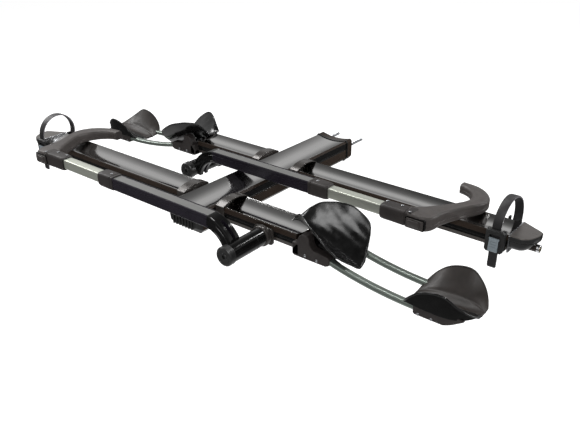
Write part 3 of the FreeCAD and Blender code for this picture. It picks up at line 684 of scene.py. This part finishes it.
def build_outer_chock():
    """Satin trough with a crease in each leaf and a web down to its bracket; its near leaf is gloss black,
    painted shade.
    """
    stations = [(614, 46, -62), (621, 58, -50), (634, 65, -33), (656, 68, -14), (682, 69, -3),
                (706, 69, 0), (722, 67, -5), (738, 62, -17), (752, 53, -29), (764, 38, -41),
                (772, 22, -50)]

    def crease(x, y, s):
        return -1.8 * math.exp(-((abs(s) - 0.36) / 0.05) ** 2)
    grids = chock_grids(stations, lambda x: -68.0 + 0.1 * (x - 611), 4.0, crease, power=1.6, web=-51.0)
    leaf = Solid().sheet(*grids).tube(rim_of(grids[0]), 2.2)
    # The near leaf (y below -12) is painted gloss black: painted shade on its shaded side.
    make("outer_leaf", leaf, ["leaf", "black"], "frame", "outer_chock", bevel=1.0,
         angle=50, pick=lambda c: 1 if c.y < -12 else 0)


# ---------------------------------------------------------------- arm
SWEEP = 83.0
ELBOW = (129.0, ARM_Z - SWEEP)      # centre (x, z) of the gooseneck's bend


def arm_section():
    """Across the arm (y, z): an inset top panel between rails, and two side grooves."""
    return [(-13, 15.6), (-14, 17), (-16, 16.6), (-17, 15), (-17, 8), (-16.3, 7.4), (-16.3, 6.2),
            (-17, 5.6), (-17, -9), (-16.3, -9.6), (-16.3, -10.8), (-17, -11.4), (-17, -15), (-15, -17),
            (15, -17), (17, -15), (17, -11.4), (16.3, -10.8), (16.3, -9.6), (17, -9), (17, 5.6),
            (16.3, 6.2), (16.3, 7.4), (17, 8), (17, 15), (16, 16.6), (14, 17), (13, 15.6)]


def across_arm(x, shape, drop=0.0):
    """Ring across the arm at x, from an outline about the arm's centre line."""
    return [(x, ARM_Y + w, ARM_Z - drop + h) for w, h in shape]


def arm_rings():
    """Rings along the arm's tube: straight, then round the gooseneck into the barrel."""
    section = arm_section()
    rings = [across_arm(x, section) for x in (ARM_START, -200, -100, 0, 60, 100, ELBOW[0])]
    steps, bend_angle, crown = 24, math.radians(84), 1.4
    for i in range(1, steps + 1):
        turn = bend_angle * i / steps
        up = (math.sin(turn), math.cos(turn))
        fill = min(1.0, i / 5)
        ring = []
        for w, h in section:
            lift = SWEEP + h + (crown * fill if abs(w) <= 13 and h > 15 else 0)
            ring.append((ELBOW[0] + up[0] * lift, ARM_Y + w, ELBOW[1] + up[1] * lift))
        rings.append(ring)
    inside = 21.5
    for k, (x, y, z) in enumerate(rings[-1]):
        away = Vector((x - PIVOT[0], z - PIVOT[1]))
        if away.length > inside:
            away = away.normalized() * inside
            rings[-1][k] = (PIVOT[0] + away.x, y, PIVOT[1] + away.y)
    return rings


def build_arm():
    """The arm's outer tube, with a slit in its gooseneck."""
    slot = Solid().prism(rounded(172, 214, ARM_Y - 5, ARM_Y + 5, 4.9, 6), "z", -70, 50)

    def pick(c):
        """The sides are 0, the inset top panel 1, the gooseneck 2."""
        if c.x > ELBOW[0] + 12:
            return 2
        return 1 if abs(c.y - ARM_Y) < 12.9 and c.z > 35 else 0
    make("arm_tube_shell", Solid().loft(arm_rings()), ["arm", "panel", "black"], "arm", "arm_tube",
         bevel=0.35, pick=pick, angle=20, cutters=[slot])


def build_pivot():
    """The arm's hinge: the barrel and its end cap turn on the shaft in the tray's mount."""
    barrel = Solid().turned(PIVOT, [(-182, 21), (-180, 23), (-96, 23), (-95, 22), (-93, 22), (-92, 23),
                                    (-66.4, 23), (-64.4, 21.5)], "y", 48)
    make("barrel_shell", barrel, ["black"], "arm", "arm_barrel")
    cap = Solid().turned(PIVOT, [(-172, 23.2), (-173, 24.5), (-188, 24.5), (-190.5, 22.5), (-191, 20),
                                 (-189.6, 18.5), (-189.6, 9), (-191, 8), (-191, 5), (-186, 4.4)], "y", 48)
    make("end_cap_shell", cap, ["plastic"], "arm", "arm_end_cap")
    mount = Solid().prism(rounded(192, 250, -53, -9, 8), "y", -50, -43.5)
    mount.turned(PIVOT, [(-49, 27), (-61, 27), (-63, 26), (-64, 24)], "y", 48)
    make("pivot_mount_shell", mount, ["cast"], "frame", "arm_pivot_mount", bevel=0.8)
    dress("arm_pivot_shaft", "zinc")


def build_slide():
    """Collar on the tube's mouth, and the inner tube that slides in it."""
    collar = Solid()
    stations = [(-271, 15.8, 9), (-270.4, 17.4, 9), (-268, 18.8, 9), (-262, 19.6, 8), (-252, 19.7, 8),
                (-224, 19.7, 7), (-219.6, 19.5, 7), (-219, 18.5, 6.5), (-217, 18.5, 6.5),
                (-216.4, 19.3, 6.5), (-210, 19.1, 6), (-209, 18.2, 6)]
    collar.loft([across_arm(x, rounded(-half, half, -half, half, radius, 6))
                 for x, half, radius in stations])
    make("collar_shell", collar, ["moulded"], "arm", "arm_collar", angle=40)
    screw = Solid().turned((-229, ARM_Y), [(ARM_TOP + 1, 3.4), (ARM_TOP + 3.4, 3.4), (ARM_TOP + 4, 2.6)],
                           "z", 20)
    make("collar_screw", screw, ["zinc"], "arm")

    tube = Solid().loft([across_arm(x, rounded(-14, 14, -14, 14, 3.5, 5)) for x in (SLIDE_END, SLIDE_START)])
    make("slide_tube_shell", tube, ["slide"], "slide", "slide_tube")


HEAD_DROP = 0.5      # the head's block hangs this much below the arm's centre line


def build_hook():
    """Moulded head: a block on the slide's end that runs into the hook, with its button."""
    head = Solid()
    stations = [(-428, 15.6, 8), (-428.6, 17.6, 8.5), (-431, 19.0, 9), (-437, 19.8, 9), (-470, 19.9, 8.5),
                (-496, 19.9, 7), (-497, 18.9, 6.5), (-499, 18.9, 6.5), (-500, 19.7, 6.5), (-514, 19.7, 6),
                (-518, 18.5, 6)]
    head.loft([across_arm(x, rounded(-half, half, -half, half, radius, 6), HEAD_DROP)
               for x, half, radius in stations])
    rings = hook_rings()
    head.loft(rings, paint=[1] * len(rings[0]))
    pocket = Solid().prism(rounded(-553.2, -501.6, 5.0, 34.0, 4.5), "y", -175, -147)
    make("hook_head_shell", head, ["moulded", "hook"], "slide", "hook_head", angle=28,
         cutters=[pocket])
    lip = [[(ARM_Y + w, ARM_Z - HEAD_DROP + h) for w, h in shape]
           for shape in (rounded(-16.4, 16.4, -16.4, 16.4, 7, 5), rounded(-14.2, 14.2, -13.7, 14.7, 3.6, 5))]
    mouth = Solid().ring(*lip, "x", -429, -427.4)
    make("head_mouth", mouth, ["black"], "slide", bevel=0.4)
    build_button()

    screws = Solid()
    for x, y in ((-437, -137), (-478, -137), (-509, -157)):
        screws.turned((x, y), [(42.2, 3.6), (44.0, 3.6), (44.6, 2.8), (44.6, 1.6), (43.4, 1.4)], "z", 20)
    make("screw_heads", screws, ["zinc"], "slide", "head_screws")


def hook_rings():
    """Rings along the hook, across it from its outer to its inner edge."""
    outer = [(-506, -163), (-530, -163), (-548, -161), (-560, -149), (-565, -130), (-567, -108),
             (-574, -84), (-586, -55), (-600, -25), (-613, 0), (-620, 26), (-619, 52), (-608, 76),
             (-590, 97), (-568, 112), (-543, 120), (-519, 123)]
    inner = [(-490, -123), (-498, -118), (-508, -108), (-518, -96), (-527, -84), (-535, -72),
             (-544, -57), (-553, -42), (-563, -25), (-572, -6), (-577, 14), (-576, 36), (-569, 56),
             (-558, 73), (-545, 85), (-531, 92), (-518, 95)]
    tops = [42, 42, 42, 41.5, 41, 40, 39, 38, 37, 36, 35, 34, 33, 32, 31, 30, 29.5]
    edge_out, edge_in = spline(outer, 4), spline(inner, 4)
    heights = spline([(t, 0) for t in tops], 4)
    floor, corner, crown, groove = 2.0, 6.5, 3.0, 0.9
    rings = []
    for i, (a, b, (top, _)) in enumerate(zip(edge_out, edge_in, heights)):
        half = (b - a).length / 2
        mid, across = (a + b) / 2, (b - a).normalized()
        soft = min(1.0, i / 10)
        section = rounded(-half, half, floor, top, corner, 6)
        middle = len(section) // 2
        section[middle:middle] = [(-half, 16), (groove - half, 15), (-half, 14)]
        section += [(half, 14), (half - groove, 15), (half, 16)]
        ring = []
        for w, h in section:
            height = h - crown * soft + crown * soft * (1 - (w / half) ** 2) if h > top - 7 else h
            ring.append((mid.x + across.x * w, mid.y + across.y * w, height))
        rings.append(ring)
    return rings


def build_button():
    """Release button in a black ring that stands for the shadow in the gap round it, painted shadow, with a
    raised pad for the thumb.
    """
    # painted shadow: a black ring in the gap round the button
    shadow_ring = Solid().ring(rounded(-553.4, -501.4, 4.8, 34.2, 4.5, 6),
                         rounded(-550.6, -504.2, 7.6, 31.4, 3.0, 6), "y", -164.4, -150)
    make("painted_shadow_ring", shadow_ring, ["black"], "slide", bevel=0.3)
    button = Solid().prism(rounded(-550.2, -504.6, 8.0, 31.0, 3.0), "y", -167.5, -152)
    grip = rounded(-541, -510, 11, 28, 5)
    button.loft([[(x, y, z) for x, z in grip] for y in (-167.5, -169.5)]
                + [[(-523 + (x + 523) * 0.8, -170.5, 19.5 + (z - 19.5) * 0.75) for x, z in grip]])
    make("button_shell", button, ["button"], "button", "release_button", bevel=0.8)


# ---------------------------------------------------------------- strap end
def build_strap():
    """Ladder strap: straight up through its buckle, then over the wheel in an arch."""
    arch = bend((-58, 14), (6, 76.8), (52, -11.5), 60) + [(52, -11.5)]
    line = [(-58, -88 + 102 * i / 40) for i in range(40)] + arch
    rings, thick, band_x = [], 1.8, -686
    for i, (y, z) in enumerate(line):
        py, pz = line[max(0, i - 1)]
        qy, qz = line[min(len(line) - 1, i + 1)]
        length = math.hypot(qy - py, qz - pz)
        ny, nz = (qz - pz) / length, -(qy - py) / length
        tooth = 2.1 if i % 2 else 1.6
        lean = -8.0 * max(0, i - 40) / (len(line) - 41)
        half = 11 if i else 9
        section = [(-half, -thick), (half, -thick), (half, 1.2), (half - 2, tooth), (2 - half, tooth),
                   (-half, 1.2)]
        rings.append([(band_x + lean + w, y - ny * h, z - nz * h) for w, h in section])
    # The strap's two side faces get the lighter grey: painted highlight along its edges.
    band = Solid().loft(rings, paint=[0, 1, 0, 0, 0, 1])
    make("strap_band", band, ["rubber", "edge"], "carriage", "wheel_strap", angle=60)

    dress("strap_carriage", "plastic")


def build_buckle():
    """Buckle on the strap: a frame with a window, and a ratchet lever that fills it."""
    frame_out = [(-709, -41), (-709, 9), (-705, 13), (-667, 13), (-663, 9), (-663, -41),
                 (-668, -46), (-704, -46)]
    frame_in = [(-699, -40), (-699, -3), (-697, 0), (-675, 0), (-673, -3), (-673, -40),
                (-675, -43), (-697, -43)]
    buckle = Solid().ring(frame_out, frame_in, "y", -64, -58)
    for low, high in ((-709, -700), (-672, -663)):
        buckle.prism([(-60, -40), (-60, 8), (-56, 12), (-48.5, 12), (-48.5, -40)], "x", low, high)
    buckle.prism(rounded(-707, -665, 6, 11.5, 2), "y", -66, -60)
    buckle.prism(rounded(-700, -672, -46, -42, 1.2), "y", -62, -52)
    make("buckle_shell", buckle, ["plastic"], "carriage", "buckle_frame", bevel=1.2)

    lever = Solid()
    grip = outline([(-64.6, -7.4), (-67.0, -8.6), (-68.8, -24), (-70, -38.6), (-67.4, -42), (-61.6, -41),
                    (-61.6, -38.4), (-64.8, -36)], {3: (-69.4, -41.4)}, 6)
    lever.prism(grip, "x", -697.5, -674.5)
    for z in (-18, -24, -30):
        y = -67.6 + (z + 12) * 0.075
        lever.prism(rounded(-694, -678, z - 1, z + 1, 0.8, 3), "y", y - 1.6, y)
    lever.turned(LEVER_PIN, [(-698.5, 2.6), (-673.5, 2.6)], "x", 20)
    make("lever_shell", lever, ["lever"], "lever", "buckle_lever", bevel=0.7)


def build_end_cap():
    """Prow on the tray's end, with a flat top plate, a side band and a belly, and its lock."""
    stations = [(-715, -47, 47, -46), (-728, -47, 40.5, -45.5), (-740, -46.6, 34, -43), (-750, -43, 29, -38),
                (-758, -36, 25, -31), (-764, -26, 21.5, -25), (-769, -13, 18.5, -19.5), (-772, -2, 16, -16)]
    stations = [tuple(p) for p in spline(stations, 3)]
    rings = []
    for x, near, far, keel in stations:
        mid, half = (near + far) / 2, (far - near) / 2
        ring = [(x, near + 2, 1.5), (x, far - 2, 1.5), (x, far, -0.5), (x, far, -11)]
        for i in range(17):
            a = math.pi * i / 16
            y = mid + (half - 1.6) * math.cos(a)
            ring.append((x, y, -11.8 + (keel + 11.8) * math.sin(a) ** 0.8))
        ring += [(x, near, -11), (x, near, -0.5)]
        rings.append(ring)
    cap = Solid().loft(rings)

    def pick(c):
        """The top plate is 0, the side band 1, the belly 2."""
        if c.z > 0.4:
            return 0
        return 1 if c.z > -11.5 else 2
    make("end_cap_prow", cap, ["cap", "plastic", "black"], "frame", "tray_end_cap",
         bevel=0.5, pick=pick, angle=38)
    trim = Solid().prism(rounded(-47.0, 47.0, -46.0, 1.5, 4), "x", -715.5, -712)
    make("end_cap_trim", trim, ["zinc"], "frame", bevel=0.6)

    barrel = Solid().turned(LOCK_AXIS, [(-716, 9.6), (-768, 9.6), (-768.6, 9.0)], "x", 32)
    barrel.turned(LOCK_AXIS, [(-768.4, 9.0), (-769, 10), (-775.2, 10), (-776, 9.2), (-776, 7.2),
                             (-774.6, 6.8)], "x", 32)
    make("lock_barrel", barrel, ["barrel", "chrome"], "frame", "lock_body",
         pick=lambda c: 1 if c.x < -768.5 else 0)
    dress("lock_cylinder", "brass")


# ---------------------------------------------------------------- camera, light, floor
# Places are in metres here. SKY is the grey of the surroundings by height, from straight
# down (-1) to straight up (1): the bright band near the horizon is what the gloss shows.
EYE, AZIMUTH, ELEVATION, LENS = (1.1767, -1.7262, 0.7789), 38.46, 26.65, 41.86
FLOOR_Z, FLOOR_REACH = -0.45, 30.0
SKY = [(-1.0, 0.85), (-0.66, 0.85), (-0.54, 0.10), (-0.10, 0.12), (0.10, 0.34), (0.30, 0.80),
       (0.44, 0.82), (0.62, 0.28), (0.78, 0.10), (1.0, 0.10)]
LIGHTS = [          # name, place, what it aims at, size, watts
    ("key", (-1.9, -0.1, 2.8), (0, -0.4, 0), 1.1, 55.0),
    ("streak", (1.0, 1.5, 2.1), (0.2, -0.5, 0), 0.3, 18.0),
    ("top", (-0.6, 0.6, 3.4), (0, -0.4, 0), 0.6, 26.0),
    ("left", (-3.0, -0.6, 1.9), (0, -0.4, 0), 1.0, 40.0),
    ("rim", (3.2, 1.8, 0.9), (0.3, -0.4, 0), 1.0, 40.0),
    ("front", (1.2, -3.0, 2.6), (0, -0.4, 0), 1.4, 45.0),
]


def build_camera():
    camera = bpy.data.objects.new("camera", bpy.data.cameras.new("camera"))
    bpy.context.scene.collection.objects.link(camera)
    bpy.context.scene.camera = camera
    camera.data.sensor_width, camera.data.lens = 36.0, LENS
    camera.data.clip_end = 100
    azimuth, elevation = math.radians(AZIMUTH), math.radians(ELEVATION)
    back = Vector((math.sin(azimuth) * math.cos(elevation), -math.cos(azimuth) * math.cos(elevation),
                   math.sin(elevation)))
    camera.location = EYE
    camera.rotation_mode = "QUATERNION"
    camera.rotation_quaternion = (-back).to_track_quat("-Z", "Y")


def build_floor():
    """Wide pale floor that glows a little, so that it stays even, and that gloss doesn't show."""
    mesh = bpy.data.meshes.new("floor")
    around = ((-1, -1), (1, -1), (1, 1), (-1, 1))
    mesh.from_pydata([(x * FLOOR_REACH, y * FLOOR_REACH, FLOOR_Z) for x, y in around], [], [(0, 1, 2, 3)])
    floor = bpy.data.objects.new("floor", mesh)
    bpy.context.scene.collection.objects.link(floor)
    floor.visible_glossy = False
    white = finish_of("floor_white", (0.45, 0.45, 0.45), 0.9, vary=0.01, spec=0.0)
    shader = white.node_tree.nodes["Principled BSDF"]
    shader.inputs["Emission Color"].default_value = (1, 1, 1, 1)
    shader.inputs["Emission Strength"].default_value = 0.85
    mesh.materials.append(white)


def build_sky():
    """Surroundings in greys that follow the height alone."""
    world = bpy.data.worlds.new("studio")
    bpy.context.scene.world = world
    world.use_nodes = True
    tree = world.node_tree
    place = tree.nodes.new("ShaderNodeTexCoord")
    split = tree.nodes.new("ShaderNodeSeparateXYZ")
    tree.links.new(place.outputs["Generated"], split.inputs["Vector"])
    height = tree.nodes.new("ShaderNodeMapRange")
    height.inputs["From Min"].default_value = -1.0
    tree.links.new(split.outputs["Z"], height.inputs["Value"])
    sky = ramp(tree, height.outputs["Result"], [((z + 1) / 2, shade((1, 1, 1), value)) for z, value in SKY])
    tree.links.new(sky.outputs["Color"], tree.nodes["Background"].inputs["Color"])
    tree.nodes["Background"].inputs["Strength"].default_value = 0.9


def build_lights():
    for name, place, aim, size, power in LIGHTS:
        lamp = bpy.data.lights.new(name, "AREA")
        lamp.size, lamp.energy = size, power
        light = bpy.data.objects.new(name, lamp)
        light.location = place
        light.rotation_mode = "QUATERNION"
        light.rotation_quaternion = (Vector(aim) - Vector(place)).to_track_quat("-Z", "Y")
        bpy.context.scene.collection.objects.link(light)


build_camera()
build_floor()
build_sky()
build_lights()
bpy.context.scene.view_settings.view_transform = "Standard"

build_spine()
build_trays()
build_sockets()
build_bars()
build_yoke()
build_bracket()
build_rivets()
build_inner_chock()
build_outer_chock()
build_arm()
build_pivot()
build_slide()
build_hook()
build_strap()
build_buckle()
build_end_cap()
